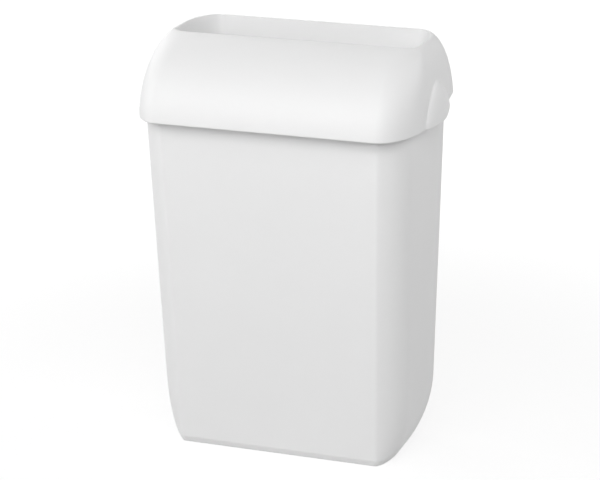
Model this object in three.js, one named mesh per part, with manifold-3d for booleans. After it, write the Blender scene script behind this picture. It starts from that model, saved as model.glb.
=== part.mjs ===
// A washroom waste bin: a tapered body, an open-topped hood that lifts straight off, and a wire bag ring inside.
// Millimetres, +Z up. The front faces -Y and the back, which can hang on a wall, faces +Y.
// The origin is on the floor, under the middle of the whole bin. Depths are counted forwards from the wall plane.
import * as THREE from "three";
import { mergeVertices } from "three/addons/utils/BufferGeometryUtils.js";
import Module from "manifold-3d";

const wasm = await Module();
wasm.setup();

// Hood: its lower edge is the rim, its upper edge the mouth
const overallHeight = 482;
const hoodHeight = 84;
const rimHeight = overallHeight - hoodHeight;
const hoodDepth = 198;
const hoodHalfWidth = 165;
const hoodCornerOut = 37.7;
const hoodCornerBack = 75;
const hoodRearRadius = 14;
const hoodWall = 2.8;
const mouthDepth = 104;
const mouthIn = 18; // how far each side draws in between rim and mouth
const mouthHalfWidth = hoodHalfWidth - mouthIn;
const mouthCornerOut = 24;
const mouthCornerBack = 16;
const mouthRearOut = 28; // the mouth's rear corners are long: this far in from the side
const mouthRearBack = 54; // and this far forward from the back
const collarDepth = 30;
const collarWall = 3;
const collarLean = 4; // the collar's inside leans in this far between its top and its lower edge
const hoodSweep = 80; // degrees of a quarter round that the front runs through before the mouth cuts it
const creaseAngle = 25; // degrees by which the body's corner turns away from the flat front at once

// The rim is level along the front and, behind the middle of the grips, rises towards the wall
const rimRiseFromWall = 71;
const rimBend = 36;
const rimRiseSlope = 0.27;

// Hand grips: a hollow dome on each side of the hood, open below
const gripOut = 8.8;
const gripUp = 44;
const gripHalfLength = 47;
const gripFromWall = 78.5;
const gripLean = -2.5; // how far the top of the dome lies in front of its middle
const gripArchPower = 1.6; // 2 would be an elliptical arch seen from the side, 1 a gable
const gripRoundPower = 0.58; // how roundly the dome rises from the hood
const gripSink = 0.3; // how deep the dome's edge lies in the hood's wall

// Ribs inside the hood, which rest on the body's flange
const ribThickness = 2.5;
const ribUp = 22;
const frontRibSpacing = 80;
const rearRibFromMiddle = 105;
const sideRibFromWall = 124;

// Body: its front and sides lie inside the hood's rim and taper from there to the floor
const bodyAboveRim = 22;
const bodyTop = rimHeight + bodyAboveRim;
const bodyWall = 2.8;
const frontOverhang = 14.5;
const sideOverhang = 9.4;
const frontTaper = 37.5;
const sideTaper = 8.9;
const bodyCornerOut = 28.2;
const bodyDepth = hoodDepth - frontOverhang;
const footDepth = bodyDepth - frontTaper;
const bodyFlatHalf = hoodHalfWidth - sideOverhang - bodyCornerOut;
const footFlatHalf = bodyFlatHalf - sideTaper;
const bodyCornerBack = 40;
const bodyRearRadius = 15;
const backGap = 4; // the body's back stands off the wall, and the hood's back wall hangs in that gap
const flangeGap = 2; // between the flange and the hood's inside
const flangeThickness = 3;

// Foot: how far in and up the sides and the back are rounded, and the bevel along the front
const sideRoundIn = 21;
const sideRoundUp = 73;
const rearRoundIn = 50;
const rearRoundUp = 71;
const footCornerBack = 31;
const footSideRun = 11; // straight stretch of each side between its two corners, at the floor
const footRearRadius = footDepth - backGap - rearRoundIn - footCornerBack - footSideRun;
const bevelIn = 2.2;
const bevelUp = 7.5;
const footRecess = 2;
const footRimWidth = 8;

// Pads behind the body that touch the wall: two with keyholes, two with plain holes, two over the saddles' screws
const padRadius = 11;
const keyholeFromTop = 64;
const keyholeHeight = bodyTop - keyholeFromTop;
const keyholeFromMiddle = 105;
const keyholeHeadRadius = 4.6;
const keyholeSlotRadius = 2.6;
const keyholeRise = 8;
const lowHoleHeight = 120;
const lowHoleFromMiddle = 80;
const lowHoleRadius = 2.6;

// Bag ring: one closed wire, whose rear run turns in two saddles
const wireRadius = 2;
const ringBelowTop = 6;
const ringWallGap = 2.2;
const ringFrontRadius = 32;
const ringRearRadius = 15;
const runningGap = 0.3;
const seatGap = 0.3;
const restLength = 14;
const restDepth = 8;
const restUp = 9;
const frontRestFromMiddle = 70;
const sideRestFromWall = 70;

// Saddles and their screws
const saddleWall = 2.5;
const saddleWidth = 26;
const saddleFromMiddle = 60;
const saddleDrop = 8;
const screwFromTop = 36;
const screwSpacing = 13;
const screwRadius = 1.7;
const screwHeadRadius = 3.3;
const screwHeadHeight = 2.2;
const screwLength = 8.2;
const screwSlot = 0.9;
const screwSlotLength = 4;
const screwSlotDepth = 1.1;

// Fineness of the curves
const cornerSteps = 9;
const rearSteps = 6;
const footLevels = 9;
const hoodLevels = 14;
const gripLevels = 9;
const gripSteps = 14;
const gripTopShare = 0.985; // the highest level of the dome that still has a length
const rimBendSteps = 5;
const wireSides = 8;
const bendSteps = 6;
const roundSides = 24;
const overrun = 5; // how far a cut runs past what it cuts

const wallPlane = hoodDepth / 2;
const floorTop = footRecess + bodyWall;
const ringHeight = bodyTop - ringBelowTop;
const screwHeight = bodyTop - screwFromTop;
const grooveRadius = wireRadius + runningGap;

const whitePlastic = new THREE.MeshStandardMaterial({ color: 0xf1f1f1, roughness: 0.42, metalness: 0 });
const greyPlastic = new THREE.MeshStandardMaterial({ color: 0xd9dadb, roughness: 0.5, metalness: 0 });
const steelWire = new THREE.MeshStandardMaterial({ color: 0xb9bcc0, roughness: 0.3, metalness: 1 });
const screwSteel = new THREE.MeshStandardMaterial({ color: 0xa9abae, roughness: 0.35, metalness: 1 });

const { lerp, degToRad } = THREE.MathUtils;

// A third of a turn that lays what was drawn in x and y, and stacked along z, into y and z, and along x
const diagonal = new THREE.Vector3().addScalar(1).normalize();
const turnToX = new THREE.Matrix4().makeRotationAxis(diagonal, (2 * Math.PI) / 3);

// Turns a closed geometry into a solid that can be joined and cut
function solid(geometry) {
  const bare = geometry.clone();
  bare.deleteAttribute("normal");
  bare.deleteAttribute("uv");
  const merged = mergeVertices(bare);
  const vertProperties = merged.attributes.position.array;
  const triVerts = new Uint32Array(merged.index.array);
  return new wasm.Manifold(new wasm.Mesh({ numProp: 3, vertProperties, triVerts }));
}

function meshOf(name, shape, material) {
  const made = shape.getMesh();
  const geometry = new THREE.BufferGeometry();
  geometry.setAttribute("position", new THREE.BufferAttribute(made.vertProperties, 3));
  geometry.setIndex(new THREE.BufferAttribute(made.triVerts, 1));
  geometry.computeVertexNormals();
  const mesh = new THREE.Mesh(geometry, material);
  mesh.name = name;
  return mesh;
}

// Flat faces over a level outline, each turned to face up
function cap(ring) {
  const flat = ring.map((p) => new THREE.Vector2(p.x, p.y));
  return THREE.ShapeUtils.triangulateShape(flat, []).map(([a, b, c]) => {
    const turn = (flat[b].x - flat[a].x) * (flat[c].y - flat[a].y) - (flat[b].y - flat[a].y) * (flat[c].x - flat[a].x);
    return turn > 0 ? [a, b, c] : [a, c, b];
  });
}

// A skin over rings of as many points each, which turn anticlockwise round the way that they are stacked.
// The ends are capped, or joined to each other where the rings go round a loop.
function loft(rings, loop = false) {
  const count = rings[0].length;
  const faces = [];
  const last = loop ? rings.length : rings.length - 1;
  for (let r = 0; r < last; r += 1) {
    const low = r * count;
    const high = ((r + 1) % rings.length) * count;
    for (let i = 0; i < count; i += 1) {
      const next = (i + 1) % count;
      faces.push(low + i, low + next, high + next, low + i, high + next, high + i);
    }
  }
  if (!loop) {
    const top = (rings.length - 1) * count;
    for (const [a, b, c] of cap(rings[0])) faces.push(a, c, b);
    for (const [a, b, c] of cap(rings.at(-1))) faces.push(top + a, top + b, top + c);
  }
  const geometry = new THREE.BufferGeometry().setFromPoints(rings.flat());
  geometry.setIndex(faces);
  return geometry;
}

function atHeight(points, z) {
  return points.map((p) => new THREE.Vector3(p.x, p.y, z));
}

function prism(points, low, high) {
  return solid(loft([atHeight(points, low), atHeight(points, high)]));
}

function block(x, y, z) {
  const box = new THREE.BoxGeometry(x[1] - x[0], y[1] - y[0], z[1] - z[0]);
  return solid(box.translate((x[0] + x[1]) / 2, (y[0] + y[1]) / 2, (z[0] + z[1]) / 2));
}

// A round bar along Y
function bar(radius, x, y, z) {
  const round = new THREE.CylinderGeometry(radius, radius, y[1] - y[0], roundSides);
  return solid(round.translate(x, (y[0] + y[1]) / 2, z));
}

// The outline that body and hood share, anticlockwise from above. The front is flat as far as flatHalf, turns by
// the crease's angle, and bulges out to the side, which runs straight to the rounded rear corner.
function outline({ flatHalf, cornerOut, cornerBack, front, rear, rearOut, rearBack, crease }) {
  const start = Math.sin(crease);
  const right = [];
  for (let i = 0; i <= cornerSteps; i += 1) {
    const turn = lerp(crease, Math.PI / 2, i / cornerSteps);
    const out = (Math.sin(turn) - start) / (1 - start);
    const back = (Math.cos(crease) - Math.cos(turn)) / Math.cos(crease);
    right.push(new THREE.Vector2(flatHalf + cornerOut * out, front + cornerBack * back));
  }
  const centreX = flatHalf + cornerOut - rearOut;
  for (let i = 0; i <= rearSteps; i += 1) {
    const turn = ((Math.PI / 2) * i) / rearSteps;
    const x = centreX + rearOut * Math.cos(turn);
    right.push(new THREE.Vector2(x, rear - rearBack * (1 - Math.sin(turn))));
  }
  const left = right.map((p) => new THREE.Vector2(-p.x, p.y)).reverse();
  return [...right, ...left];
}

// Direction of each corner of an outline, pointing out, long enough to move both its edges by one
function mitres(points) {
  return points.map((p, i) => {
    const before = p.clone().sub(points.at(i - 1)).normalize();
    const after = points[(i + 1) % points.length].clone().sub(p).normalize();
    const out = new THREE.Vector2(before.y + after.y, -before.x - after.x);
    return out.divideScalar(1 + before.dot(after));
  });
}

function inset(points, distance) {
  const out = mitres(points);
  return points.map((p, i) => p.clone().addScaledVector(out[i], -distance));
}

// One at the floor, nothing from the given height up, along a quarter of an ellipse
function quarter(z, up) {
  const share = Math.max(0, (up - z) / up);
  return 1 - Math.sqrt(1 - share * share);
}

function bodyShape(z) {
  const taper = z / rimHeight;
  const side = quarter(z, sideRoundUp);
  const back = quarter(z, rearRoundUp);
  const bevel = bevelIn * Math.max(0, 1 - z / bevelUp);
  const rearRadius = lerp(bodyRearRadius, footRearRadius, back);
  return {
    flatHalf: lerp(footFlatHalf, bodyFlatHalf, taper),
    cornerOut: bodyCornerOut - sideRoundIn * side,
    cornerBack: lerp(bodyCornerBack, footCornerBack, side),
    front: wallPlane - lerp(footDepth + bevelIn, bodyDepth, taper) + bevel,
    rear: wallPlane - backGap - rearRoundIn * back,
    rearOut: rearRadius,
    rearBack: rearRadius,
    crease: degToRad(creaseAngle),
  };
}

function shrunk(shape, distance) {
  return {
    ...shape,
    flatHalf: shape.flatHalf - distance,
    front: shape.front + distance,
    rear: shape.rear - distance,
    rearOut: shape.rearOut - distance,
    rearBack: shape.rearBack - distance,
  };
}

// Half width of the body's hollow and the depth of its front, at a height
function innerSide(z) {
  const shape = bodyShape(z);
  return shape.flatHalf + shape.cornerOut - bodyWall;
}

function innerFront(z) {
  return bodyShape(z).front + bodyWall;
}

const innerBack = wallPlane - backGap - bodyWall;

// Heights that follow the foot's rounding closely near the floor, and then the bevel's and the straight wall's
function bodyHeights(from) {
  const up = Math.max(sideRoundUp, rearRoundUp);
  const heights = [from, bevelUp];
  for (let i = 1; i <= footLevels; i += 1) heights.push(up * (1 - Math.cos(((Math.PI / 2) * i) / footLevels)));
  return heights.filter((z) => z >= from).sort((a, b) => a - b);
}

function hoodRound(share) {
  const turn = degToRad(hoodSweep) * share;
  const end = degToRad(hoodSweep);
  return {
    inward: (1 - Math.cos(turn)) / (1 - Math.cos(end)),
    height: lerp(rimHeight, overallHeight, Math.sin(turn) / Math.sin(end)),
  };
}

// How far the hood has drawn in at a height: nothing at the rim, one at the mouth
function hoodInward(z) {
  const end = degToRad(hoodSweep);
  const rise = Math.min(1, Math.max(0, (z - rimHeight) / (overallHeight - rimHeight)));
  return (1 - Math.sqrt(1 - (rise * Math.sin(end)) ** 2)) / (1 - Math.cos(end));
}

function hoodShape(inward) {
  const cornerOut = lerp(hoodCornerOut, mouthCornerOut, inward);
  return {
    flatHalf: lerp(hoodHalfWidth, mouthHalfWidth, inward) - cornerOut,
    cornerOut,
    cornerBack: lerp(hoodCornerBack, mouthCornerBack, inward),
    front: wallPlane - lerp(hoodDepth, mouthDepth, inward),
    rear: wallPlane,
    rearOut: lerp(hoodRearRadius, mouthRearOut, inward),
    rearBack: lerp(hoodRearRadius, mouthRearBack, inward),
    crease: 0,
  };
}

// Moves a stack of rings inwards by the wall, square to the surface that they span
function insetRings(rings, wall) {
  return rings.map((ring, r) => {
    const above = rings[Math.min(r + 1, rings.length - 1)];
    const below = rings[Math.max(r - 1, 0)];
    const out = mitres(ring);
    return ring.map((p, i) => {
      const level = new THREE.Vector3(out[i].x, out[i].y, 0);
      const mitre = level.length();
      const along = new THREE.Vector3(-out[i].y, out[i].x, 0).divideScalar(mitre);
      const up = above[i].clone().sub(below[i]);
      const normal = along.cross(up).normalize();
      return p.clone().addScaledVector(normal, -wall * mitre);
    });
  });
}

// The dome's outline at a share of its height, drawn in by the wall for its hollow
function gripRing(rise, wall, side) {
  const left = 1 - rise ** gripArchPower;
  const z = rimHeight + (gripUp - wall) * rise;
  const surface = lerp(hoodHalfWidth, mouthHalfWidth, hoodInward(z)) - gripSink - wall;
  const out = gripOut * left ** gripRoundPower + gripSink;
  const half = (gripHalfLength - wall) * left ** (1 / gripArchPower);
  const middle = wallPlane - gripFromWall - gripLean * rise;
  const points = [];
  for (let i = 0; i <= gripSteps; i += 1) {
    const along = -Math.cos((Math.PI * i) / gripSteps);
    const bulge = (1 - Math.abs(along) ** gripArchPower) ** gripRoundPower;
    points.push(new THREE.Vector3(side * (surface + out * bulge), middle + half * along, z));
  }
  const inside = side * (surface - hoodWall / 2);
  points.push(new THREE.Vector3(inside, middle + half, z), new THREE.Vector3(inside, middle - half, z));
  return side > 0 ? points : points.reverse();
}

// The dome outside, or its hollow when a wall is given
function grip(wall, side) {
  const rings = [];
  for (let i = 0; i <= gripLevels; i += 1) {
    const rise = gripTopShare * Math.sin(((Math.PI / 2) * i) / gripLevels);
    rings.push(gripRing(rise, wall, side));
  }
  if (wall > 0) rings.unshift(rings[0].map((p) => new THREE.Vector3(p.x, p.y, rimHeight - overrun)));
  return solid(loft(rings));
}

// What lies under the rim where it rises, across the whole hood
function underRim() {
  const start = wallPlane - rimRiseFromWall - rimBend / 2;
  const end = wallPlane + overrun;
  const low = rimHeight - overrun;
  const points = [new THREE.Vector2(start, low), new THREE.Vector2(end, low)];
  points.push(new THREE.Vector2(end, rimHeight + rimRiseSlope * (end - wallPlane + rimRiseFromWall)));
  for (let i = rimBendSteps; i > 0; i -= 1) {
    const along = (rimBend * i) / rimBendSteps;
    const rise = (rimRiseSlope * along * along) / (2 * rimBend);
    points.push(new THREE.Vector2(start + along, rimHeight + rise));
  }
  const half = hoodHalfWidth + gripOut + overrun;
  const across = loft([atHeight(points, -half), atHeight(points, half)]);
  return solid(across.applyMatrix4(turnToX));
}

function makeHood() {
  const rings = [];
  for (let i = 0; i <= hoodLevels; i += 1) {
    const { inward, height } = hoodRound(i / hoodLevels);
    rings.push(atHeight(outline(hoodShape(inward)), height));
  }
  const outside = solid(loft(rings));
  const inner = insetRings(rings, hoodWall);
  const hollow = solid(loft([atHeight(inner[0], rimHeight - overrun), ...inner]));
  const mouth = outline(hoodShape(1));
  const lean = (collarLean * overrun) / collarDepth;
  const opening = solid(loft([
    atHeight(inset(mouth, collarWall + collarLean + lean), overallHeight - collarDepth - overrun),
    atHeight(inset(mouth, collarWall - lean), overallHeight + overrun),
  ]));
  const collar = prism(mouth, overallHeight - collarDepth, overallHeight);
  let hood = outside.add(grip(0, 1)).add(grip(0, -1));
  hood = hood.subtract(hollow).subtract(grip(hoodWall, 1)).subtract(grip(hoodWall, -1));
  hood = hood.subtract(underRim());
  for (const rib of hoodRibs()) hood = hood.add(rib.intersect(outside));
  return hood.add(collar).subtract(opening);
}

function hoodRibs() {
  const low = bodyTop + seatGap;
  const heights = [low, low + ribUp];
  const half = ribThickness / 2;
  const top = bodyShape(bodyTop);
  const frontEdge = innerFront(bodyTop);
  const ribs = [-frontRibSpacing, 0, frontRibSpacing].map((x) =>
    block([x - half, x + half], [wallPlane - hoodDepth, frontEdge], heights),
  );
  for (const side of [-1, 1]) {
    const rearX = side * rearRibFromMiddle;
    ribs.push(block([rearX - half, rearX + half], [top.rear - bodyWall, wallPlane], heights));
    const y = wallPlane - sideRibFromWall;
    const ends = [side * innerSide(bodyTop), side * hoodHalfWidth].sort((a, b) => a - b);
    ribs.push(block(ends, [y - half, y + half], heights));
  }
  return ribs;
}

function makeBody() {
  const outer = bodyHeights(0).map((z) => atHeight(outline(bodyShape(z)), z));
  outer.push(atHeight(outline(bodyShape(bodyTop)), bodyTop));
  const lift = bodyWall / 2;
  const hollowAt = (z) => atHeight(inset(outline(bodyShape(z - lift)), bodyWall), z);
  const hollow = [...bodyHeights(floorTop), bodyTop + overrun].map(hollowAt);
  const flangeShape = { ...hoodShape(hoodInward(bodyTop)), rear: bodyShape(bodyTop).rear };
  const flange = inset(outline(flangeShape), hoodWall + flangeGap);
  let body = solid(loft(outer)).add(prism(flange, bodyTop - flangeThickness, bodyTop));
  for (const [x, z] of padPlaces()) {
    body = body.add(bar(padRadius, x, [innerBack + bodyWall / 2, wallPlane], z));
  }
  body = body.subtract(solid(loft(hollow)));
  body = body.subtract(prism(outline(shrunk(bodyShape(0), footRimWidth)), -overrun, footRecess));
  for (const rest of ringRests()) body = body.add(rest);
  for (const hole of bodyHoles()) body = body.subtract(hole);
  return body;
}

function padPlaces() {
  const places = [];
  for (const side of [-1, 1]) {
    places.push([side * keyholeFromMiddle, keyholeHeight]);
    places.push([side * lowHoleFromMiddle, lowHoleHeight]);
    for (const x of screwPlaces(side)) places.push([x, screwHeight]);
  }
  return places;
}

function screwPlaces(side) {
  return [-1, 1].map((end) => side * saddleFromMiddle + (end * screwSpacing) / 2);
}

function bodyHoles() {
  const through = [innerBack - overrun, wallPlane + overrun];
  const blind = [innerBack - overrun, innerBack - saddleWall + screwLength];
  const slot = [keyholeHeight, keyholeHeight + keyholeRise];
  const holes = [];
  for (const side of [-1, 1]) {
    const x = side * keyholeFromMiddle;
    holes.push(bar(keyholeHeadRadius, x, through, keyholeHeight));
    holes.push(block([x - keyholeSlotRadius, x + keyholeSlotRadius], through, slot));
    holes.push(bar(keyholeSlotRadius, x, through, slot[1]));
    holes.push(bar(lowHoleRadius, side * lowHoleFromMiddle, through, lowHoleHeight));
    for (const screwX of screwPlaces(side)) holes.push(bar(screwRadius + runningGap, screwX, blind, screwHeight));
  }
  return holes;
}

// Small ledges inside the body, under the ring's front and side runs
function ringRests() {
  const high = ringHeight - wireRadius - seatGap;
  const heights = [high - restUp, high];
  const front = [innerFront(high) - bodyWall / 2, innerFront(high) + restDepth];
  const sideY = wallPlane - sideRestFromWall;
  const rests = [];
  for (const side of [-1, 1]) {
    const x = side * frontRestFromMiddle;
    rests.push(block([x - restLength / 2, x + restLength / 2], front, heights));
    const ends = [side * (innerSide(high) - restDepth), side * (innerSide(high) + bodyWall / 2)].sort((a, b) => a - b);
    rests.push(block(ends, [sideY - restLength / 2, sideY + restLength / 2], heights));
  }
  return rests;
}

const ringBack = innerBack - seatGap - grooveRadius;

// The ring's middle line from above, anticlockwise: a rectangle with rounded corners
function ringLine() {
  const halfWidth = innerSide(ringHeight) - ringWallGap - wireRadius;
  const front = innerFront(ringHeight) + ringWallGap + wireRadius;
  const corners = [
    [halfWidth - ringFrontRadius, front + ringFrontRadius, ringFrontRadius],
    [halfWidth - ringRearRadius, ringBack - ringRearRadius, ringRearRadius],
    [ringRearRadius - halfWidth, ringBack - ringRearRadius, ringRearRadius],
    [ringFrontRadius - halfWidth, front + ringFrontRadius, ringFrontRadius],
  ];
  return corners.flatMap(([x, y, radius], corner) =>
    Array.from({ length: bendSteps + 1 }, (_, i) => {
      const turn = (Math.PI / 2) * (corner - 1 + i / bendSteps);
      return new THREE.Vector2(x + radius * Math.cos(turn), y + radius * Math.sin(turn));
    }),
  );
}

function makeBagRing() {
  const line = ringLine();
  const out = mitres(line);
  const rings = line.map((p, i) =>
    Array.from({ length: wireSides }, (_, j) => {
      const turn = (2 * Math.PI * j) / wireSides;
      const side = p.clone().addScaledVector(out[i], wireRadius * Math.sin(turn));
      return new THREE.Vector3(side.x, side.y, ringHeight + wireRadius * Math.cos(turn));
    }),
  );
  return solid(loft(rings, true));
}

// The saddle's section across the wire: a plate on the wall that arches over the wire and traps it
function saddleSection() {
  const back = innerBack - seatGap;
  const outer = grooveRadius + saddleWall;
  const shape = new THREE.Shape();
  shape.moveTo(back, screwHeight - saddleDrop);
  shape.lineTo(back - saddleWall, screwHeight - saddleDrop);
  shape.lineTo(back - saddleWall, ringHeight - outer);
  shape.absarc(ringBack, ringHeight, outer, -Math.PI / 2, Math.PI / 2, true);
  shape.lineTo(back, ringHeight + outer);
  shape.lineTo(back, ringHeight + grooveRadius);
  shape.absarc(ringBack, ringHeight, grooveRadius, Math.PI / 2, -Math.PI / 2, false);
  shape.lineTo(back, ringHeight - grooveRadius);
  shape.closePath();
  return shape;
}

function makeSaddle(side) {
  const options = { depth: saddleWidth, bevelEnabled: false, curveSegments: bendSteps };
  const strip = new THREE.ExtrudeGeometry(saddleSection(), options);
  strip.applyMatrix4(turnToX);
  strip.translate(side * saddleFromMiddle - saddleWidth / 2, 0, 0);
  let saddle = solid(strip);
  for (const x of screwPlaces(side)) {
    const through = [innerBack - saddleWall - overrun, innerBack];
    saddle = saddle.subtract(bar(screwRadius + runningGap, x, through, screwHeight));
  }
  return saddle;
}

// A pan-head screw along Y, its head towards the inside of the bin
function makeScrew(x) {
  const seat = innerBack - seatGap - saddleWall - seatGap;
  const profile = [
    [0, -screwHeadHeight],
    [screwHeadRadius / 2, -screwHeadHeight],
    [screwHeadRadius, -screwHeadHeight / 2],
    [screwHeadRadius, 0],
    [screwRadius, 0],
    [screwRadius, screwLength - screwRadius],
    [0, screwLength],
  ];
  const turned = new THREE.LatheGeometry(profile.map(([r, y]) => new THREE.Vector2(r, y)), roundSides);
  let screw = solid(turned.translate(x, seat, screwHeight));
  const depth = [seat - screwHeadHeight - overrun, seat - screwHeadHeight + screwSlotDepth];
  const long = screwSlotLength / 2;
  const thin = screwSlot / 2;
  screw = screw.subtract(block([x - long, x + long], depth, [screwHeight - thin, screwHeight + thin]));
  return screw.subtract(block([x - thin, x + thin], depth, [screwHeight - long, screwHeight + long]));
}

const bin = new THREE.Group();
bin.add(meshOf("bin_body", makeBody(), whitePlastic));
bin.add(meshOf("hood", makeHood(), whitePlastic));
bin.add(meshOf("bag_ring", makeBagRing(), steelWire));
for (const [name, side] of [["left", -1], ["right", 1]]) {
  bin.add(meshOf(`${name}_ring_saddle`, makeSaddle(side), greyPlastic));
  screwPlaces(side).forEach((x, i) => {
    bin.add(meshOf(`${name}_saddle_screw_${i + 1}`, makeScrew(x), screwSteel));
  });
}

export default bin;
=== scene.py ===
import math

import bmesh
import bpy
import numpy as np
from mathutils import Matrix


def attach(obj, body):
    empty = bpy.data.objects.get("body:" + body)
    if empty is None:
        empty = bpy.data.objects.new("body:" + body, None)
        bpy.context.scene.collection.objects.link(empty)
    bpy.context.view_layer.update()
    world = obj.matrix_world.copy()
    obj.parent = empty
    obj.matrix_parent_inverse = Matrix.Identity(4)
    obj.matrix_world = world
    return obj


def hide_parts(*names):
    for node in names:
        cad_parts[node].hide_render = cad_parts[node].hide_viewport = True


# Looks of the washroom bin. Shapes are worked out in millimetres, with the sizes of the part's source, and stored
# in metres. The front faces -Y, and depths are counted forwards from the wall plane.
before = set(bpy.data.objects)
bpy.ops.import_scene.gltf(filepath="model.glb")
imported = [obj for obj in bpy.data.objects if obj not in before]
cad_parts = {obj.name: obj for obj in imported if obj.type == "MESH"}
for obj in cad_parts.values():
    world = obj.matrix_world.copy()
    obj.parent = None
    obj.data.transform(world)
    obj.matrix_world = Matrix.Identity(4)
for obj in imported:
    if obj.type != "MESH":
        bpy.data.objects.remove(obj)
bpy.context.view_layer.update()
MM = 0.001

# Heights of the hood's rim, the whole bin, the body and the collar's lower edge
RIM, TOP, BODY_TOP, COLLAR_LOW = 398.0, 482.0, 420.0, 452.0
WALL_PLANE, BACK_GAP = 99.0, 4
HOOD_WALL, BODY_WALL, COLLAR_WALL, COLLAR_LEAN = 2.8, 2.8, 3.0, 4.0

# Hood, each size at the rim and at the mouth. Its front follows the first 80 degrees of a quarter round.
HOOD_SWEEP = math.radians(80)
HOOD_HALF, HOOD_DEPTH = (165, 147), (198, 104)
HOOD_CORNER_OUT, HOOD_CORNER_BACK = (37.7, 24), (75, 16)
HOOD_REAR_OUT, HOOD_REAR_BACK = (14, 28), (14, 54)

# The rim is level along the front and rises towards the wall, after a short bend
RIM_RISE_FROM_WALL, RIM_BEND, RIM_SLOPE = 71, 36, 0.27

# Hand grips: domes on the hood's sides. They stand out a hair less than the solids, to stay inside their box.
GRIP_OUT, GRIP_UP, GRIP_HALF, GRIP_FROM_WALL, GRIP_LEAN = 8.79, 44, 47, 78.5, 2.5
GRIP_ARCH_POWER, GRIP_ROUND_POWER = 1.6, 0.58

# Body: half width of the flat front and depth, at the floor and at the rim, then its corners
FLAT_HALF, BODY_DEPTH = (118.5, 127.4), (148.2, 183.5)
BODY_OUT, BODY_CORNER_BACK, BODY_REAR_ROUND = 28.2, 40, 15
CREASE, CREASE_ROUND = math.radians(25), 2.0
FLANGE_GAP, FLANGE_THICK = 2, 3

# Foot: how far its sides and back are rounded in and up, its corners, the bevel in front and the rim below
SIDE_ROUND_IN, SIDE_ROUND_UP, REAR_ROUND_IN, REAR_ROUND_UP = 21, 73, 50, 71
FOOT_CORNER_BACK, FOOT_REAR_ROUND = 31, 50
BEVEL_IN, BEVEL_UP = 2.2, 7.5
FOOT_RIM, FOOT_RECESS = 8, 2
FLOOR_TOP = FOOT_RECESS + BODY_WALL

# Pads and holes behind the body, as places from the middle and heights
PAD_RADIUS, PAD_ROOT = 11, 1.4
KEYHOLE_X, KEYHOLE_Z, KEYHOLE_HEAD, KEYHOLE_SLOT, KEYHOLE_RISE = 105, 356, 4.6, 2.6, 8
LOW_HOLE_X, LOW_HOLE_Z, LOW_HOLE_RADIUS = 80, 120, 2.6
INNER_BACK = WALL_PLANE - BACK_GAP - BODY_WALL
OVERRUN, RECESS_OVERRUN, LOW_HOLE_END = 3, 2, 12  # how far the cuts run past what they cut

# Ribs inside the hood: half their thickness, how high they are and how deep they reach into the hood's wall
RIB_HALF, RIB_UP, RIB_ROOT = 1.25, 22, 1.2
FRONT_RIBS, REAR_RIB_X, SIDE_RIB_FROM_WALL = (-80, 0, 80), 105, 124

# Bag ring, the saddles that hold its rear run, their screws, and the rests under the ring
RUNNING_GAP = 0.3
RING_Z, WIRE, RING_INSET, RING_FRONT_ROUND, RING_REAR_ROUND = 414.0, 2.0, 4.2, 32, 15
GROOVE = WIRE + RUNNING_GAP
RING_BACK = INNER_BACK - RUNNING_GAP - GROOVE
SADDLE_X, SADDLE_HALF, SADDLE_WALL, SADDLE_LOW = 60, 13, 2.5, 376
SCREW_APART, SCREW_Z, SCREW_HEAD = 6.5, 384, 2.2
RECESS_HALF, RECESS_REACH, RECESS_DEPTH = 0.45, 2, 1.1
REST_AT, REST_HALF, REST_DEPTH, REST_UP, REST_ROOT = 70, 7, 8, 9, 1.4

# Edges sharper than SHARP degrees stay sharp in the shading, and those sharper than BEVEL_FROM are rounded
SHARP, BEVEL_FROM, BEVEL_STEPS = 40, 35, 3
PAD_SIDES, HOLE_SIDES, SCREW_SIDES, WIRE_SIDES = 48, 32, 36, 24


# ---- outlines -------------------------------------------------------------------------------------------------

def lerp(a, b, t):
    return a + (b - a) * t


def bent(a, b, c, t):
    """A quadratic curve from a to c, drawn towards b."""
    return (1 - t) ** 2 * a + 2 * t * (1 - t) * b + t * t * c


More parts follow.
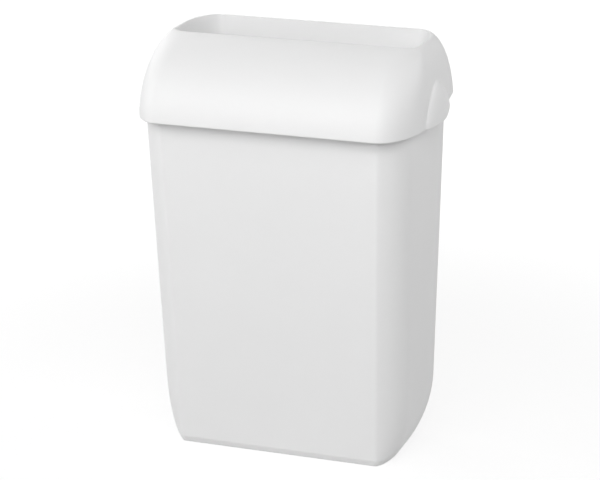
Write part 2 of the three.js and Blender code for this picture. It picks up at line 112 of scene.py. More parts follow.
class Columns:
    """The columns of one half of an outline, as shares along its flat front, the small round at the crease, the
    corner, the side, the rear corner and the back."""

    def __init__(self, flat, corner, side, rear, back, crease=5):
        self.flat = 1 - (1 - np.linspace(0, 1, flat)) ** 2
        self.crease, self.corner, self.side, self.rear, self.back = (
            np.linspace(0, 1, count + 1)[1:] for count in (crease, corner, side, rear, back))
        self.count = flat + crease + corner + side + rear + back

    def place(self, shape):
        """x and y of every column. The shape's values are arrays of rows by columns."""
        start, xs, ys = 0, [], []

        def take(share):
            nonlocal start
            part = {key: value[:, start:start + len(share)] for key, value in shape.items()}
            start += len(share)
            return part, share[None, :]

        def arc(p, turn):
            """The corner, a quarter round whose first part is cut off by the crease's angle."""
            low = np.sin(p["crease"])
            out = (np.sin(turn) - low) / (1 - low)
            back = (np.cos(p["crease"]) - np.cos(turn)) / np.cos(p["crease"])
            return p["flat"] + p["out"] * out, p["front"] + p["back"] * back

        def first(p):
            """The turn at which the corner leaves the small round at the crease."""
            low, cos = np.sin(p["crease"]), np.cos(p["crease"])
            speed = np.hypot(p["out"] * cos / (1 - low), p["back"] * low / cos)
            return p["crease"] + CREASE_ROUND / speed

        p, t = take(self.flat)
        xs.append((p["flat"] - CREASE_ROUND) * t)
        ys.append(p["front"] + 0 * t)
        p, t = take(self.crease)
        x, y = arc(p, first(p))
        xs.append(bent(p["flat"] - CREASE_ROUND, p["flat"], x, t))
        ys.append(bent(p["front"], p["front"], y, t))
        p, t = take(self.corner)
        x, y = arc(p, first(p) + (math.pi / 2 - first(p)) * t)
        xs.append(x)
        ys.append(y)
        p, t = take(self.side)
        xs.append(p["flat"] + p["out"] + 0 * t)
        ys.append(lerp(p["front"] + p["back"], p["rear"] - p["rear_back"], t))
        p, t = take(self.rear)
        turn = math.pi / 2 * t
        xs.append(p["flat"] + p["out"] - p["rear_out"] * (1 - np.cos(turn)))
        ys.append(p["rear"] - p["rear_back"] * (1 - np.sin(turn)))
        p, t = take(self.back)
        xs.append((p["flat"] + p["out"] - p["rear_out"]) * (1 - t))
        ys.append(p["rear"] + 0 * t)
        return np.hstack(xs), np.hstack(ys)


def whole(x, y, z):
    """Mirrors the right half of each row, and gives rows of points, anticlockwise from above."""
    x = np.hstack([x, -x[:, -2:0:-1]])
    y = np.hstack([y, y[:, -2:0:-1]])
    z = np.hstack([z, z[:, -2:0:-1]])
    return np.stack([x, y, z], -1)


def quarter(z, up):
    """How far a quarter round of the height up has drawn in at z: 1 at the floor, 0 from up on."""
    share = np.clip((up - z) / up, 0, 1)
    return 1 - np.sqrt(1 - share * share)


def body_shape(z):
    taper, side, back = z / RIM, quarter(z, SIDE_ROUND_UP), quarter(z, REAR_ROUND_UP)
    return {
        "flat": lerp(*FLAT_HALF, taper),
        "out": BODY_OUT - SIDE_ROUND_IN * side,
        "back": lerp(BODY_CORNER_BACK, FOOT_CORNER_BACK, side),
        "front": WALL_PLANE - lerp(*BODY_DEPTH, taper) + BEVEL_IN * np.clip(1 - z / BEVEL_UP, 0, 1),
        "rear": WALL_PLANE - BACK_GAP - REAR_ROUND_IN * back,
        "rear_out": lerp(BODY_REAR_ROUND, FOOT_REAR_ROUND, back),
        "rear_back": lerp(BODY_REAR_ROUND, FOOT_REAR_ROUND, back),
        "crease": CREASE + 0 * z,
    }


def inner_side_at(z):
    return lerp(*FLAT_HALF, z / RIM) + BODY_OUT - BODY_WALL


def inner_front_at(z):
    return WALL_PLANE - lerp(*BODY_DEPTH, z / RIM) + BODY_WALL


def hood_shape(z):
    rise = np.clip((z - RIM) / (TOP - RIM), 0, 1)
    g = (1 - np.sqrt(1 - (rise * math.sin(HOOD_SWEEP)) ** 2)) / (1 - math.cos(HOOD_SWEEP))
    out = lerp(*HOOD_CORNER_OUT, g)
    return {
        "flat": lerp(*HOOD_HALF, g) - out,
        "out": out,
        "back": lerp(*HOOD_CORNER_BACK, g),
        "front": WALL_PLANE - lerp(*HOOD_DEPTH, g),
        "rear": WALL_PLANE + 0 * g,
        "rear_out": lerp(*HOOD_REAR_OUT, g),
        "rear_back": lerp(*HOOD_REAR_BACK, g),
        "crease": 0 * g,
    }


def rim_at(y):
    """Height of the hood's lower edge, which rises towards the wall."""
    along = y - (WALL_PLANE - RIM_RISE_FROM_WALL - RIM_BEND / 2)
    bend = RIM_SLOPE * np.clip(along, 0, RIM_BEND) ** 2 / (2 * RIM_BEND)
    return RIM + bend + RIM_SLOPE * np.clip(along - RIM_BEND, 0, None)


def dome(y, z):
    """How far the hand grip stands out from the hood's side."""
    rise = np.clip((z - RIM) / GRIP_UP, 0, None)
    t = np.abs(y - (WALL_PLANE - GRIP_FROM_WALL + GRIP_LEAN * rise)) / GRIP_HALF
    return GRIP_OUT * np.clip(1 - t ** GRIP_ARCH_POWER - rise ** GRIP_ARCH_POWER, 0, None) ** GRIP_ROUND_POWER


def normals_2d(ring):
    """Outward level directions at the points of one closed row."""
    along = np.roll(ring, -1, 0)[:, :2] - np.roll(ring, 1, 0)[:, :2]
    out = np.stack([along[:, 1], -along[:, 0]], -1)
    out /= np.linalg.norm(out, axis=1)[:, None]
    return np.hstack([out, np.zeros((len(out), 1))])


def inset(ring, distance, z=None):
    """A row drawn in by a distance, and set to the height z where one is given."""
    moved = ring - normals_2d(ring) * distance
    if z is not None:
        moved[:, 2] = z
    return moved


# ---- meshes ---------------------------------------------------------------------------------------------------

def linked(name, data):
    obj = bpy.data.objects.new(name, data)
    bpy.context.scene.collection.objects.link(obj)
    return obj


def clean_mesh(name, verts, faces, merge, dissolve=0):
    """A mesh from millimetres, without doubles (merge) and, where asked, without very short edges (dissolve)."""
    mesh = bpy.data.meshes.new(name)
    mesh.from_pydata([tuple(v) for v in np.asarray(verts, float) * MM], [], faces)
    bm = bmesh.new()
    bm.from_mesh(mesh)
    bmesh.ops.remove_doubles(bm, verts=bm.verts, dist=merge)
    if dissolve:
        bmesh.ops.dissolve_degenerate(bm, edges=bm.edges, dist=dissolve)
    bmesh.ops.recalc_face_normals(bm, faces=bm.faces)
    bm.to_mesh(mesh)
    bm.free()
    return mesh


def add_piece(name, verts, faces, body, material, replaces=(), sharp=SHARP):
    mesh = clean_mesh(name, verts, faces, merge=2e-6, dissolve=1e-6)
    mesh.shade_smooth()
    mesh.set_sharp_from_angle(angle=math.radians(sharp))
    mesh.materials.append(material)
    obj = linked(name, mesh)
    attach(obj, body)
    if replaces:
        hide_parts(*replaces)
    return obj


def grid_faces(rows, count, loop=False, cap=False):
    """Faces between rows of points. loop joins the last row to the first, cap closes both ends."""
    faces = []
    for r in range(rows if loop else rows - 1):
        a, b = r * count, ((r + 1) % rows) * count
        for i in range(count):
            j = (i + 1) % count
            faces.append((a + i, a + j, b + j, b + i))
    if cap:
        faces.append(tuple(range(count))[::-1])
        faces.append(tuple(range((rows - 1) * count, rows * count)))
    return faces


def box(x, y, z):
    corners = [(a, b, c) for c in z for b in y for a in x]
    faces = [(0, 2, 3, 1), (4, 5, 7, 6), (0, 1, 5, 4), (2, 6, 7, 3), (0, 4, 6, 2), (1, 3, 7, 5)]
    return corners, faces


def joined(parts):
    verts, faces = [], []
    for part_verts, part_faces in parts:
        faces += [tuple(i + len(verts) for i in face) for face in part_faces]
        verts += list(part_verts)
    return verts, faces


def turned(profile, centre, sides):
    """A round piece along Y from (radius, y) pairs that start and end on its middle line."""
    verts = []
    for r, y in profile:
        for t in np.linspace(0, 2 * math.pi, sides, endpoint=False):
            verts.append((centre[0] + r * math.cos(t), centre[1] + y, centre[2] + r * math.sin(t)))
    return verts, grid_faces(len(profile), sides, cap=True)


def apply_modifiers(obj):
    made = bpy.data.meshes.new_from_object(obj.evaluated_get(bpy.context.evaluated_depsgraph_get()))
    obj.modifiers.clear()
    old, obj.data = obj.data, made
    bpy.data.meshes.remove(old)
    obj.data.shade_smooth()
    obj.data.set_sharp_from_angle(angle=math.radians(SHARP))


def bevelled(obj, width):
    m = obj.modifiers.new("edge", "BEVEL")
    m.width = width * MM
    m.segments = BEVEL_STEPS
    m.limit_method = "ANGLE"
    m.angle_limit = math.radians(BEVEL_FROM)
    m.harden_normals = False
    apply_modifiers(obj)


def cut(obj, tools, operation):
    for verts, faces in tools:
        mesh = clean_mesh("tool", verts, faces, merge=1e-7)
        tool = linked("tool", mesh)
        m = obj.modifiers.new("cut", "BOOLEAN")
        m.object, m.operation, m.solver = tool, operation, "EXACT"
        apply_modifiers(obj)
        bpy.data.objects.remove(tool)
        bpy.data.meshes.remove(mesh)


# ---- materials ------------------------------------------------------------------------------------------------

def node(tree, kind, **inputs):
    made = tree.nodes.new(kind)
    for key, value in inputs.items():
        made.inputs[key.replace("_", " ")].default_value = value
    return made


def new_material(name):
    mat = bpy.data.materials.new(name)
    mat.use_nodes = True
    return mat, mat.node_tree


def scaled_colour(tree, colour):
    scale = tree.nodes.new("ShaderNodeVectorMath")
    scale.operation = "SCALE"
    scale.inputs[0].default_value = colour
    return scale


def plastic(name, colour, roughness, shine):
    """Satin moulded plastic: a fine spark grain, a slow unevenness, and a colour that hardly varies."""
    mat, tree = new_material(name)
    shader = tree.nodes["Principled BSDF"]
    place = tree.nodes.new("ShaderNodeTexCoord")
    slow = node(tree, "ShaderNodeTexNoise", Scale=9.0, Detail=3.0, Roughness=0.5)
    fine = node(tree, "ShaderNodeTexNoise", Scale=1500.0, Detail=2.0, Roughness=0.6)
    tint = node(tree, "ShaderNodeMapRange", From_Min=0.3, From_Max=0.7, To_Min=0.988, To_Max=1.0)
    scale = scaled_colour(tree, colour)
    gloss = node(tree, "ShaderNodeMapRange", To_Min=roughness - 0.04, To_Max=roughness + 0.04)
    bump = node(tree, "ShaderNodeBump", Strength=0.05, Distance=0.0003)
    link = tree.links.new
    for noise in (slow, fine):
        link(place.outputs["Object"], noise.inputs["Vector"])
    link(slow.outputs["Fac"], tint.inputs["Value"])
    link(tint.outputs["Result"], scale.inputs["Scale"])
    link(scale.outputs["Vector"], shader.inputs["Base Color"])
    link(slow.outputs["Fac"], gloss.inputs["Value"])
    link(gloss.outputs["Result"], shader.inputs["Roughness"])
    link(fine.outputs["Fac"], bump.inputs["Height"])
    link(bump.outputs["Normal"], shader.inputs["Normal"])
    shader.inputs["IOR"].default_value = 1.49
    shader.inputs["Specular IOR Level"].default_value = shine
    return mat


def drawn_steel(name, colour, roughness, stretch):
    """Metal with fine lines; stretch sets how close they lie along each axis."""
    mat, tree = new_material(name)
    shader = tree.nodes["Principled BSDF"]
    place = tree.nodes.new("ShaderNodeTexCoord")
    mapping = node(tree, "ShaderNodeMapping", Scale=stretch)
    lines = node(tree, "ShaderNodeTexNoise", Scale=40.0, Detail=4.0, Roughness=0.6)
    gloss = node(tree, "ShaderNodeMapRange", To_Min=roughness - 0.08, To_Max=roughness + 0.12)
    tint = node(tree, "ShaderNodeMapRange", To_Min=0.9, To_Max=1.05)
    scale = scaled_colour(tree, colour)
    bump = node(tree, "ShaderNodeBump", Strength=0.08, Distance=0.0002)
    link = tree.links.new
    link(place.outputs["Object"], mapping.inputs["Vector"])
    link(mapping.outputs["Vector"], lines.inputs["Vector"])
    link(lines.outputs["Fac"], gloss.inputs["Value"])
    link(gloss.outputs["Result"], shader.inputs["Roughness"])
    link(lines.outputs["Fac"], tint.inputs["Value"])
    link(tint.outputs["Result"], scale.inputs["Scale"])
    link(scale.outputs["Vector"], shader.inputs["Base Color"])
    link(lines.outputs["Fac"], bump.inputs["Height"])
    link(bump.outputs["Normal"], shader.inputs["Normal"])
    shader.inputs["Metallic"].default_value = 1.0
    return mat


white = plastic("white_plastic", colour=(0.93, 0.93, 0.93), roughness=0.42, shine=0.25)
grey = plastic("grey_plastic", colour=(0.55, 0.56, 0.57), roughness=0.5, shine=0.5)
wire_steel = drawn_steel("steel_wire", colour=(0.62, 0.63, 0.65), roughness=0.3, stretch=(1.0, 1.0, 30.0))
screw_steel = drawn_steel("screw_steel", colour=(0.55, 0.56, 0.58), roughness=0.34, stretch=(20.0, 1.0, 20.0))


# ---- bin body -------------------------------------------------------------------------------------------------

def body_rows():
    """Rows of points from the recess under the foot, up the outside, over the flange and down the inside."""
    cols = Columns(flat=22, corner=26, side=14, rear=16, back=8)

    def outer(z):
        z = np.full((1, cols.count), float(z))
        return whole(*cols.place(body_shape(z)), z)[0]

    def shrunk(distance, z):
        level = np.zeros((1, cols.count))
        s = body_shape(level)
        s["front"] += distance
        for key in ("flat", "rear", "rear_out", "rear_back"):
            s[key] -= distance
        return whole(*cols.place(s), level + z)[0]

    def inner(z):
        return inset(outer(z - BODY_WALL / 2), BODY_WALL, z)

    s = hood_shape(np.full((1, cols.count), BODY_TOP))
    s["rear"] += HOOD_WALL + FLANGE_GAP - BACK_GAP
    x, y = cols.place(s)
    flange = inset(whole(x, y, 0 * x)[0], HOOD_WALL + FLANGE_GAP)

    # recess and rim under the foot, with rounded edges
    rows = [shrunk(FOOT_RIM, FOOT_RECESS), shrunk(FOOT_RIM, 0.6)]
    rows += [shrunk(FOOT_RIM - 0.2, 0.15), shrunk(FOOT_RIM - 0.8, 0)]
    rows += [inset(outer(0), 0.7, 0), inset(outer(0), 0.2, 0.12), outer(0.5)]

    # bevel, rounded foot and outside
    rows += [outer(z) for z in (2, 4, 6, 6.8, 7.5, 8.2, 9, 10.5)]
    rows += [outer(SIDE_ROUND_UP * (1 - math.cos(math.pi / 2 * i / 30))) for i in range(11, 31)]
    flange_low = BODY_TOP - FLANGE_THICK
    rows += [outer(z) for z in np.linspace(SIDE_ROUND_UP, flange_low - 0.6, 13)[1:]]

    # flange: (in, up) round its edge
    rows.append(inset(outer(flange_low), -0.3, flange_low))
    rows += [inset(flange, distance, flange_low + up) for distance, up in (
        (0.5, 0), (0.12, 0.15), (0, 0.6), (0, 2.2), (0.25, 2.75), (0.8, 3))]

    # inside, through the rounded foot down to the floor with its rounded edge
    rows += [inset(inner(BODY_TOP), -0.7, BODY_TOP), inset(inner(BODY_TOP), -0.2, BODY_TOP - 0.2)]
    rows.append(inner(BODY_TOP - 0.7))
    round_up, round_top = 70, 75
    rows += [inner(z) for z in np.linspace(BODY_TOP - 1, round_top, 12)]
    rows += [inner(FLOOR_TOP + round_up * (1 - math.cos(math.pi / 2 * i / 20))) for i in range(19, 4, -1)]
    low = inner(FLOOR_TOP + 2.2)
    rows += [low, inset(low, 0.7, FLOOR_TOP + 0.6), inset(low, 2.2, FLOOR_TOP)]
    return np.array(rows)


def make_body():
    rows = body_rows()
    faces = grid_faces(len(rows), rows.shape[1], cap=True)
    verts = rows.reshape(-1, 3)
    body = add_piece("body_shell", verts, faces, "bin", white, ("bin_body",), sharp=35)

    # Pads behind the body, then the holes through them. The pads over a saddle's two screws overlap, and one of
    # them is a hair smaller, so that they share no surface.
    pads, holes = [], []
    end = WALL_PLANE - INNER_BACK
    for side in (-1, 1):
        for x, z, r in ((KEYHOLE_X, KEYHOLE_Z, PAD_RADIUS), (LOW_HOLE_X, LOW_HOLE_Z, PAD_RADIUS),
                        (SADDLE_X - SCREW_APART, SCREW_Z, PAD_RADIUS),
                        (SADDLE_X + SCREW_APART, SCREW_Z, PAD_RADIUS - 0.01)):
            profile = [(0, PAD_ROOT), (r, PAD_ROOT)]
            profile += [(r, end - 0.6), (r - 0.25, end - 0.15), (r - 0.7, end), (0, end)]
            pads.append(turned(profile, (side * x, INNER_BACK, z), PAD_SIDES))
        x, slot_z = side * KEYHOLE_X, KEYHOLE_Z + KEYHOLE_RISE
        key = [(x + KEYHOLE_HEAD * math.cos(t), KEYHOLE_Z + KEYHOLE_HEAD * math.sin(t))
               for t in np.radians(range(-230, 51, 10))]
        key += [(x + KEYHOLE_SLOT * math.cos(t), slot_z + KEYHOLE_SLOT * math.sin(t))
                for t in np.radians(range(0, 181, 12))]
        ring = [(px, y, pz) for y in (INNER_BACK - OVERRUN, WALL_PLANE + OVERRUN) for px, pz in key]
        holes.append((ring, grid_faces(2, len(key), cap=True)))
        profile = [(0, -OVERRUN), (LOW_HOLE_RADIUS, -OVERRUN)]
        profile += [(LOW_HOLE_RADIUS, LOW_HOLE_END), (0, LOW_HOLE_END)]
        holes.append(turned(profile, (side * LOW_HOLE_X, INNER_BACK, LOW_HOLE_Z), HOLE_SIDES))
    cut(body, pads, "UNION")
    cut(body, holes, "DIFFERENCE")


make_body()


# ---- hood -----------------------------------------------------------------------------------------------------

def hood_skin(cols):
    """Rows of points of the hood's outside, from the rim to just below the lip."""
    # Shares of the height: evenly spaced up to the first, then spaced by equal turns up to the second
    even_end, lip_start = 0.56, 0.992
    sweep = math.sin(HOOD_SWEEP)
    even = np.linspace(0, even_end, 58)[:-1]
    turn = np.linspace(math.asin(even_end * sweep), math.asin(lip_start * sweep), 18)
    share = np.concatenate([even, np.sin(turn) / sweep])[:, None]
    share[1] = 1 / (TOP - RIM)  # the second row lies 1 mm up, where the rim's round edge ends
    z = RIM + (TOP - RIM) * share + np.zeros((len(share), cols.count))
    for _ in range(6):  # the rim's height follows from where the points lie, and they from it
        rim = rim_at(cols.place(hood_shape(z))[1])
        z = rim + (TOP - rim) * share
    x, y = cols.place(hood_shape(z))
    return whole(x + dome(y, z), y, z)


def make_hood():
    cols = Columns(flat=24, corner=30, side=130, rear=18, back=10)
    skin = hood_skin(cols)
    around = np.roll(skin, -1, 1) - np.roll(skin, 1, 1)
    normal = np.cross(around, np.gradient(skin, axis=0))
    normal /= np.linalg.norm(normal, axis=2)[:, :, None]
    inside = skin - normal * HOOD_WALL

    mouth_z = np.full((1, cols.count), TOP)
    mouth = whole(*cols.place(hood_shape(mouth_z)), mouth_z)[0]
    out = normals_2d(mouth)
    count = len(mouth)

    # In each column, the row at which the inside meets the collar. Where the hood's wall is already as near as
    # the collar at the collar's foot, root is how far the collar starts in from the mouth's outline.
    gap = np.einsum("rcj,cj->rc", (inside - mouth[None]) * [1, 1, 0], out)
    meet, root = np.zeros(count), np.zeros(count)
    for c in range(count):
        column = inside[:, c, 2]
        at_low = np.interp(COLLAR_LOW, column, np.arange(len(column)))
        gap_low = np.interp(at_low, np.arange(len(column)), gap[:, c])
        root[c] = np.clip(-gap_low, 0, HOOD_WALL)
        above = [r for r in range(int(at_low), len(column)) if gap[r, c] < 0]
        if gap_low > 0 and above:
            a, b = gap[above[0] - 1, c], gap[above[0], c]
            meet[c] = above[0] - 1 + (a / (a - b) if a > 0 > b else 1)
        else:
            meet[c] = at_low

    def inner_at(k):
        """The inside at a share of each column's way from the rim to the collar."""
        index = meet * k
        row = np.clip(np.floor(index).astype(int), 0, len(inside) - 2)
        c = np.arange(count)
        t = (index - row)[:, None]
        return inside[row, c] * (1 - t) + inside[row + 1, c] * t

    def collar(distance, z):
        ring = mouth - out * np.broadcast_to(distance, count)[:, None]
        ring[:, 2] = z
        return ring

    # rim: (in, up) round its edge
    level = normal[0] * [1, 1, 0]
    level /= np.linalg.norm(level, axis=1)[:, None]
    rows = [skin[0] - level * distance + [0, 0, up] for distance, up in (
        (2.68, 0.5), (2.35, 0.14), (1.8, 0), (1.0, 0), (0.45, 0.14), (0.12, 0.5))]

    # outside, and the lip with its outer and inner round
    rows += list(skin[1:])
    outer_round, inner_round = 0.6, 0.45
    rows += [bent(skin[-1], mouth, collar(outer_round, TOP), t) for t in (0.3, 0.55, 0.8, 1.0)]
    lip = [collar(COLLAR_WALL - inner_round, TOP), collar(COLLAR_WALL, TOP)]
    lip.append(collar(COLLAR_WALL, TOP - inner_round))
    rows += [bent(*lip, t) for t in (0, 0.35, 0.7, 1.0)]

    # collar: its leaning inside, then its lower edge as (share of its thickness, up)
    collar_start, collar_end = TOP - inner_round, COLLAR_LOW + 0.9
    rows += [collar(COLLAR_WALL + COLLAR_LEAN * t, lerp(collar_start, collar_end, t))
             for t in np.linspace(0.03, 1, 8)]
    low_wall = COLLAR_WALL + COLLAR_LEAN
    rows += [collar(root + (low_wall - root) * t, COLLAR_LOW + up) for t, up in (
        (0.93, 0.25), (0.75, 0), (0.3, 0), (0.08, 0.25), (0, 0.9))]
    rows += [collar(root, lerp(collar_end, inner_at(1.0)[:, 2], t)) for t in (0.35, 0.7)]

    # inside, down to the rim
    rows += [inner_at(k) for k in np.linspace(1.0, 1.0 / max(meet.max(), 1), 40)]
    rows = np.array(rows)
    faces = grid_faces(len(rows), rows.shape[1], loop=True)
    verts = rows.reshape(-1, 3)
    add_piece("hood_shell", verts, faces, "hood", white, ("hood",), sharp=50)


make_hood()


def make_ribs():
    """Seven plates under the hood that rest on the body's flange: three in front, one each side, two behind."""
    low = BODY_TOP + RUNNING_GAP
    high = low + RIB_UP
    heights = np.linspace(low, high, 12)
    shapes = [hood_shape(np.array([z])) for z in heights]
    front = [float(s["front"][0]) + RIB_ROOT for s in shapes]
    side = [float(s["flat"][0] + s["out"][0]) - RIB_ROOT for s in shapes]
    inner_front, inner_side = inner_front_at(BODY_TOP), inner_side_at(BODY_TOP)
    parts = []

    def plate(points, across):
        verts = [across(p, end) for end in (-RIB_HALF, RIB_HALF) for p in points]
        parts.append((verts, grid_faces(2, len(points), cap=True)))

    for x in FRONT_RIBS:
        edge = [(f, z) for f, z in zip(front, heights) if f < inner_front]
        edge.append((inner_front, edge[-1][1] + 0.6))
        plate([(inner_front, low)] + edge[::-1], lambda p, d: (x + d, p[0], p[1]))
    for sign in (-1, 1):
        points = [(inner_side, low), (inner_side, high)] + list(zip(side, heights))[::-1]
        plate(points, lambda p, d: (sign * p[0], WALL_PLANE - SIDE_RIB_FROM_WALL + d, p[1]))
        rear = WALL_PLANE - 1.5
        points = [(INNER_BACK, low), (INNER_BACK, high), (rear, high), (rear, low)]
        plate(points, lambda p, d: (sign * REAR_RIB_X + d, p[0], p[1]))
    verts, faces = joined(parts)
    bevelled(add_piece("hood_ribs", verts, faces, "hood", white), width=0.35)


make_ribs()


# ---- bag ring, its rests, saddles and screws ------------------------------------------------------------------

def make_ring():
    half, front = inner_side_at(RING_Z) - RING_INSET, inner_front_at(RING_Z) + RING_INSET
    x_front, y_front = half - RING_FRONT_ROUND, front + RING_FRONT_ROUND
    x_rear, y_rear = half - RING_REAR_ROUND, RING_BACK - RING_REAR_ROUND
    line = []
    for k, (x, y, r) in enumerate((
        (x_front, y_front, RING_FRONT_ROUND), (x_rear, y_rear, RING_REAR_ROUND),
        (-x_rear, y_rear, RING_REAR_ROUND), (-x_front, y_front, RING_FRONT_ROUND),
    )):
        for i in range(25):
            t = math.pi / 2 * (k - 1 + i / 24)
            line.append((x + r * math.cos(t), y + r * math.sin(t), RING_Z))
    line = np.array(line)
    t = np.linspace(0, 2 * math.pi, WIRE_SIDES, endpoint=False)
    rows = [p + np.outer(np.sin(t), n) * WIRE + np.outer(np.cos(t), [0, 0, 1]) * WIRE
            for p, n in zip(line, normals_2d(line))]
    faces = grid_faces(len(rows), WIRE_SIDES, loop=True)
    verts = np.array(rows).reshape(-1, 3)
    add_piece("ring_wire", verts, faces, "ring", wire_steel, ("bag_ring",))


make_ring()


def make_rests():
    high = RING_Z - WIRE - RUNNING_GAP
    heights = (high - REST_UP, high)
    parts = []
    for sign in (-1, 1):
        front = inner_front_at(high)
        parts.append(box((sign * REST_AT - REST_HALF, sign * REST_AT + REST_HALF),
                         (front - REST_ROOT, front + REST_DEPTH), heights))
        side = inner_side_at(high)
        xs = sorted((sign * (side - REST_DEPTH), sign * (side + REST_ROOT)))
        y = WALL_PLANE - REST_AT
        parts.append(box(xs, (y - REST_HALF, y + REST_HALF), heights))
    verts, faces = joined(parts)
    bevelled(add_piece("ring_rests", verts, faces, "bin", white), width=0.7)


make_rests()


def make_saddle(name, x):
    back = INNER_BACK - RUNNING_GAP
    outer = GROOVE + SADDLE_WALL

    def arc(radius, start, end, steps):
        return [(RING_BACK + radius * math.cos(t), RING_Z + radius * math.sin(t))
                for t in np.linspace(start, end, steps)]

    points = [(back, SADDLE_LOW), (back - SADDLE_WALL, SADDLE_LOW), (back - SADDLE_WALL, RING_Z - outer)]
    points += arc(outer, -math.pi / 2, -3 * math.pi / 2, 25)
    points += [(back, RING_Z + outer), (back, RING_Z + GROOVE)]
    points += arc(GROOVE, math.pi / 2, 3 * math.pi / 2, 21)
    points += [(back, RING_Z - GROOVE)]
    verts = [(end, y, z) for end in (x - SADDLE_HALF, x + SADDLE_HALF) for y, z in points]
    faces = grid_faces(2, len(points), cap=True)
    obj = add_piece(name + "_saddle", verts, faces, "bin", grey, (name + "_ring_saddle",))
    bevelled(obj, width=0.45)


def make_screw(name, x):
    seat = INNER_BACK - RUNNING_GAP - SADDLE_WALL - RUNNING_GAP
    # (radius, depth) from the head's crown to the point
    profile = [(0, -SCREW_HEAD), (1.2, -2.16), (2.2, -1.95), (2.9, -1.5)]
    profile += [(3.25, -0.8), (3.3, -0.2), (3.1, 0), (1.7, 0)]
    profile += [(1.7 if i % 2 else 1.45, 0.3 + 0.35 * i) for i in range(20)]
    profile += [(0.9, 7.9), (0, 8.2)]
    verts, faces = turned(profile, (x, seat, SCREW_Z), SCREW_SIDES)
    obj = add_piece("screw_" + name, verts, faces, "bin", screw_steel, (name,))
    crown = seat - SCREW_HEAD
    depth = (crown - RECESS_OVERRUN, crown + RECESS_DEPTH)

    def around(middle, half):
        return middle - half, middle + half

    tools = [box(around(x, RECESS_REACH), depth, around(SCREW_Z, RECESS_HALF)),
             box(around(x, RECESS_HALF), depth, around(SCREW_Z, RECESS_REACH))]
    cut(obj, tools, "DIFFERENCE")


for name, x in (("left", -SADDLE_X), ("right", SADDLE_X)):
    make_saddle(name, x)
    for i, end in enumerate((-1, 1)):
        make_screw(f"{name}_saddle_screw_{i + 1}", x + end * SCREW_APART)


# ---- floor, light and camera ----------------------------------------------------------------------------------

FLOOR_HALF = 6  # metres
FLOOR_COLOUR = (0.6, 0.6, 0.6, 1)  # as it lights the bin
# As the camera sees it: white by its own glow, which is weaker near the bin, so that the bin's shadow shows
SHADED_COLOUR = (0.25, 0.25, 0.25, 1)
GLOW_NEAR, GLOW_FAR, NEAR, FAR = 0.8, 1.0, 0.4, 1.6
AMBIENT = 0.075

BIN_MIDDLE, LIGHT_REACH = (0, 0, 0.25), 2.5
# Name, azimuth from the front towards +X, elevation, size in metres and power in watts
LIGHTS = (
    ("front_wide", 0, 42, (3.4, 2.2), 5.0),
    ("front_low_wide", 0, 25, (3.0, 1.2), 7.0),
    ("front_box", 0, 35, (1.5, 1.5), 17.4),
    ("front_right_box", 40, 38, (1.5, 1.5), 14.8),
    ("front_left_box", -40, 38, (1.5, 1.5), 6.5),
    ("left_box", -75, 18, (1.5, 1.5), 15.5),
    ("right_box", 90, 20, (1.5, 1.5), 3.5),
    ("rear_left_box", -130, 30, (1.5, 1.5), 14.2),
    ("rear_right_box", 130, 25, (1.5, 1.5), 13.8),
)

# The photograph's viewpoint, fitted to the bin's outlines
CAMERA_PLACE, LOOK_DOWN, LOOK_TURN = (0.85898, -2.43818, 1.07173), 17.7104, 19.202
LENS, SENSOR = 141.76, 36


def seen_share(tree):
    """1 for rays that should meet the plain white ground: from the camera, and in glossy or clear surfaces."""
    path = tree.nodes.new("ShaderNodeLightPath")
    share = path.outputs["Is Camera Ray"]
    for ray in ("Is Glossy Ray", "Is Transmission Ray"):
        larger = tree.nodes.new("ShaderNodeMath")
        larger.operation = "MAXIMUM"
        tree.links.new(share, larger.inputs[0])
        tree.links.new(path.outputs[ray], larger.inputs[1])
        share = larger.outputs[0]
    return share


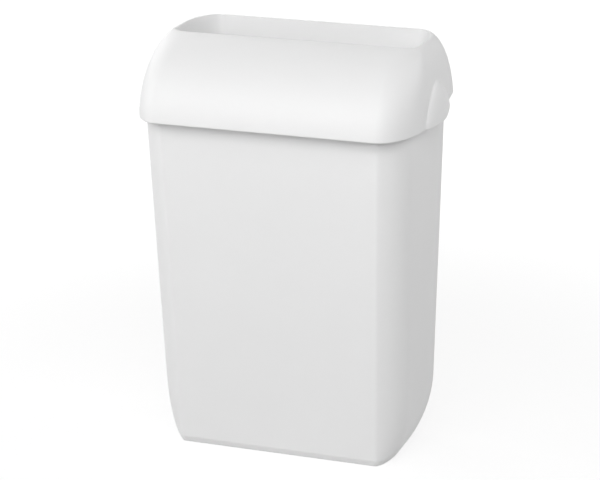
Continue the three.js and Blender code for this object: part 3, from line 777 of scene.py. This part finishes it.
def make_floor():
    h = FLOOR_HALF
    mesh = bpy.data.meshes.new("floor")
    mesh.from_pydata([(-h, -h, 0), (h, -h, 0), (h, h, 0), (-h, h, 0)], [], [(0, 1, 2, 3)])
    floor = linked("floor", mesh)
    mat, tree = new_material("floor")
    tree.nodes.clear()
    ground = node(tree, "ShaderNodeBsdfDiffuse", Color=FLOOR_COLOUR)
    shaded = node(tree, "ShaderNodeBsdfDiffuse", Color=SHADED_COLOUR)
    place = tree.nodes.new("ShaderNodeTexCoord")
    away = tree.nodes.new("ShaderNodeVectorMath")
    away.operation = "LENGTH"
    strength = node(tree, "ShaderNodeMapRange", From_Min=NEAR, From_Max=FAR, To_Min=GLOW_NEAR, To_Max=GLOW_FAR)
    strength.interpolation_type = "SMOOTHSTEP"
    glow = tree.nodes.new("ShaderNodeEmission")
    seen = tree.nodes.new("ShaderNodeAddShader")
    mix = tree.nodes.new("ShaderNodeMixShader")
    out = tree.nodes.new("ShaderNodeOutputMaterial")
    link = tree.links.new
    link(place.outputs["Object"], away.inputs[0])
    link(away.outputs["Value"], strength.inputs["Value"])
    link(strength.outputs["Result"], glow.inputs["Strength"])
    link(seen_share(tree), mix.inputs["Fac"])
    link(shaded.outputs[0], seen.inputs[0])
    link(glow.outputs[0], seen.inputs[1])
    link(ground.outputs[0], mix.inputs[1])
    link(seen.outputs[0], mix.inputs[2])
    link(mix.outputs[0], out.inputs["Surface"])
    mesh.materials.append(mat)


def make_world():
    world = bpy.data.worlds.new("studio")
    bpy.context.scene.world = world
    world.use_nodes = True
    tree = world.node_tree
    shader = tree.nodes["Background"]
    shader.inputs["Color"].default_value = (1, 1, 1, 1)
    value = node(tree, "ShaderNodeMapRange", To_Min=AMBIENT, To_Max=1.0)
    tree.links.new(seen_share(tree), value.inputs["Value"])
    tree.links.new(value.outputs["Result"], shader.inputs["Strength"])


def studio_light(name, azimuth, elevation, size, power):
    """A soft box that faces the bin's middle."""
    turn, tilt = math.radians(azimuth), math.radians(elevation)
    away = (math.cos(tilt) * math.sin(turn), -math.cos(tilt) * math.cos(turn), math.sin(tilt))
    data = bpy.data.lights.new(name, "AREA")
    data.shape = "RECTANGLE"
    data.size, data.size_y = size
    data.energy = power
    light = linked(name, data)
    light.location = [m + LIGHT_REACH * d for m, d in zip(BIN_MIDDLE, away)]
    light.rotation_euler = (math.pi / 2 - tilt, 0, turn)
    light.visible_camera = False


make_floor()
make_world()
for light in LIGHTS:
    studio_light(*light)

camera = linked("camera", bpy.data.cameras.new("camera"))
camera.location = CAMERA_PLACE
camera.rotation_euler = (math.radians(90 - LOOK_DOWN), 0, math.radians(LOOK_TURN))
camera.data.lens = LENS
camera.data.sensor_width = SENSOR
bpy.context.scene.camera = camera

bpy.context.scene.view_settings.view_transform = "Standard"
